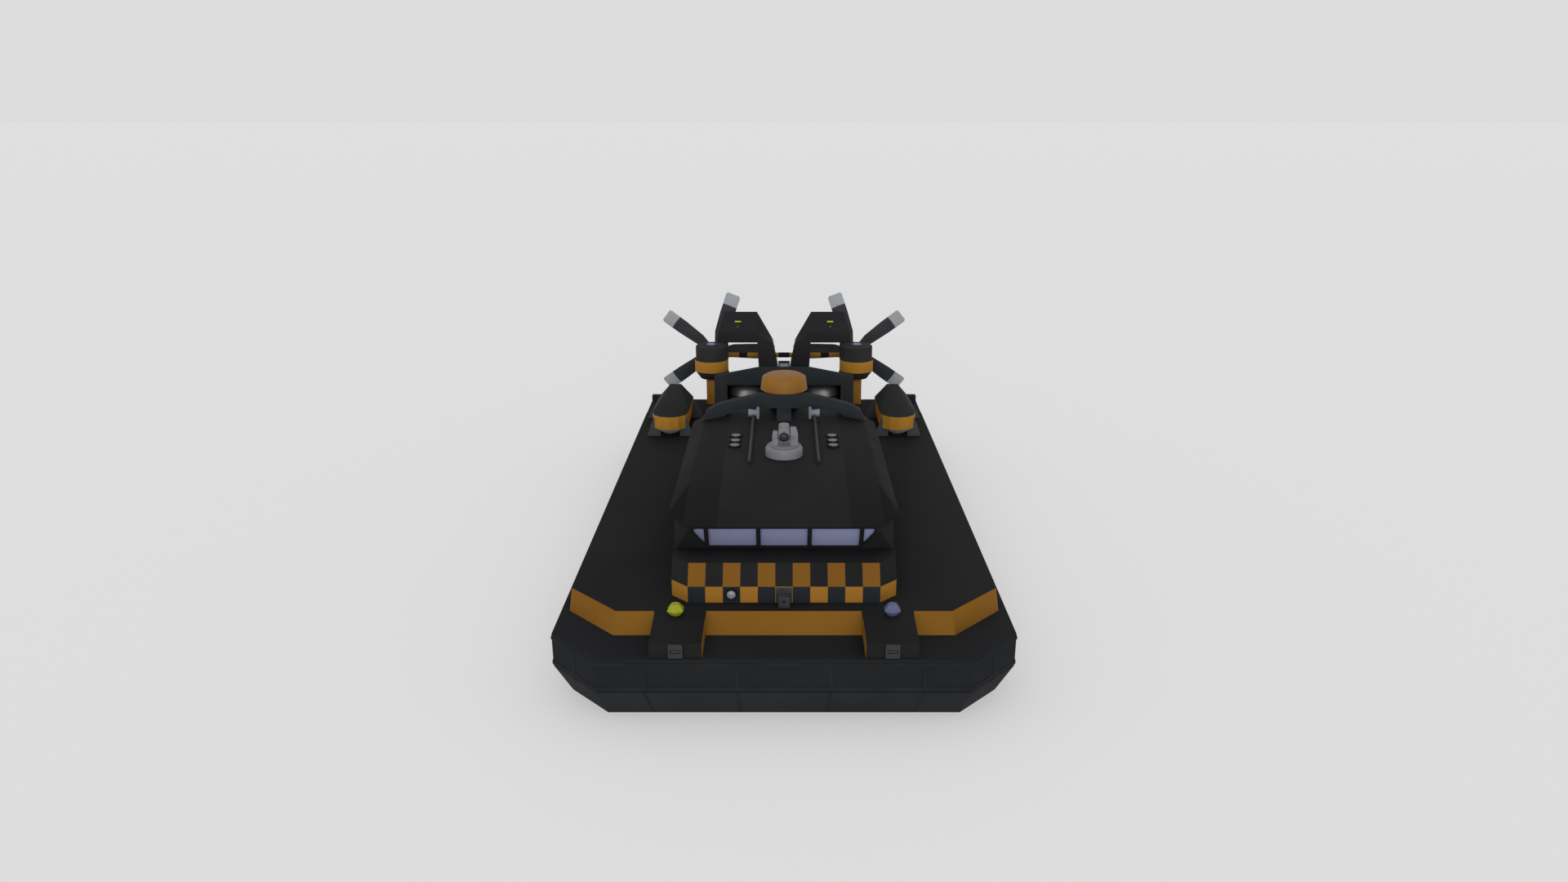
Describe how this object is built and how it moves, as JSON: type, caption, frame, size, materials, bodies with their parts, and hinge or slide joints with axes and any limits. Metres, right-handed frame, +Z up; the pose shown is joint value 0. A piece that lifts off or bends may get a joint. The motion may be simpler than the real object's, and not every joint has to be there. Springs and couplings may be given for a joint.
{
  "type": "hovercraft",
  "caption": "Utility hovercraft with a long cabin, bow blocks, radar arch, lift-fan pods, engine house and twin stern propellers on pylons.",
  "frame": {"origin": "on the floor under the middle of the whole craft, as it parks on its skirt", "axes": "+Z up, -Y towards the bow, +Y towards the propellers, +X to the craft's port side"},
  "size_m": [8, 16, 4.4323],
  "materials": {
    "skirt_rubber": "matt rubber-coated fabric",
    "hull_rubber": "matt rubber-coated fabric",
    "dark_paint": "satin paint with non-slip deck areas",
    "orange_paint": "satin paint",
    "grey_paint": "satin paint",
    "light_grey": "satin paint",
    "glass": "tinted",
    "green_lens": "gloss",
    "blue_lens": "gloss",
    "blade_paint": "satin composite",
    "interior_plastic": "moulded",
    "seat_vinyl": "vinyl"
  },
  "bodies": {
    "root": {"skirt_bow": "skirt_rubber", "skirt_stern": "skirt_rubber", "skirt_port": "skirt_rubber", "skirt_starboard": "skirt_rubber", "hull": "hull_rubber", "upper_deck": "dark_paint", "cabin_body": "dark_paint", "cab_frame": "dark_paint", "cabin_roof": "dark_paint", "windscreen_glass": "glass", "side_glass_port": "glass", "side_glass_starboard": "glass", "helm_console": "interior_plastic", "helm_seat_port": "seat_vinyl", "helm_seat_starboard": "seat_vinyl", "rail_port": "grey_paint", "rail_starboard": "grey_paint", "arch": "dark_paint", "radome": "orange_paint", "turret_base": "grey_paint", "engine_house": "dark_paint", "engine": "grey_paint", "intake_drum_port": "light_grey", "intake_drum_starboard": "light_grey", "pod_port": "dark_paint", "pod_starboard": "dark_paint", "pylon_port": "orange_paint", "pylon_starboard": "orange_paint", "nacelle_port": "grey_paint", "nacelle_starboard": "grey_paint", "fin_port": "grey_paint", "fin_starboard": "grey_paint", "cross_tube": "orange_paint", "nav_lamp_port": "blue_lens", "nav_lamp_starboard": "green_lens", "bow_lamp": "light_grey", "tow_fitting": "grey_paint", "fairlead_port": "grey_paint", "fairlead_starboard": "grey_paint"},
    "port_door": {"door_port": "dark_paint", "door_glass_port": "glass"},
    "starboard_door": {"door_starboard": "dark_paint", "door_glass_starboard": "glass"},
    "turret_pan": {"turret_yoke": "light_grey"},
    "turret_tilt": {"turret_head": "light_grey"},
    "port_propeller": {"propeller_port": "blade_paint"},
    "starboard_propeller": {"propeller_starboard": "blade_paint"}
  },
  "joints": [
    {"name": "port_door_hinge", "type": "hinge", "parent": "root", "child": "port_door", "pos_m": [2.016, -0.697, 1.566], "axis": [0, 0, -1], "range_deg": [0, 100]},
    {"name": "starboard_door_hinge", "type": "hinge", "parent": "root", "child": "starboard_door", "pos_m": [-2.016, -0.697, 1.566], "axis": [0, 0, 1], "range_deg": [0, 100]},
    {"name": "turret_pan_ring", "type": "hinge", "parent": "root", "child": "turret_pan", "pos_m": [0, -3.116, 3.2623], "axis": [0, 0, 1], "range_deg": [-170, 170]},
    {"name": "turret_tilt_pivot", "type": "hinge", "parent": "turret_pan", "child": "turret_tilt", "pos_m": [0, -3.116, 3.5], "axis": [-1, 0, 0], "range_deg": [-20, 60]},
    {"name": "port_propeller_shaft", "type": "hinge", "parent": "root", "child": "port_propeller", "pos_m": [2.059, 7.65, 2.692], "axis": [0, 1, 0], "continuous": true},
    {"name": "starboard_propeller_shaft", "type": "hinge", "parent": "root", "child": "starboard_propeller", "pos_m": [-2.059, 7.65, 2.692], "axis": [0, -1, 0], "continuous": true}
  ]
}
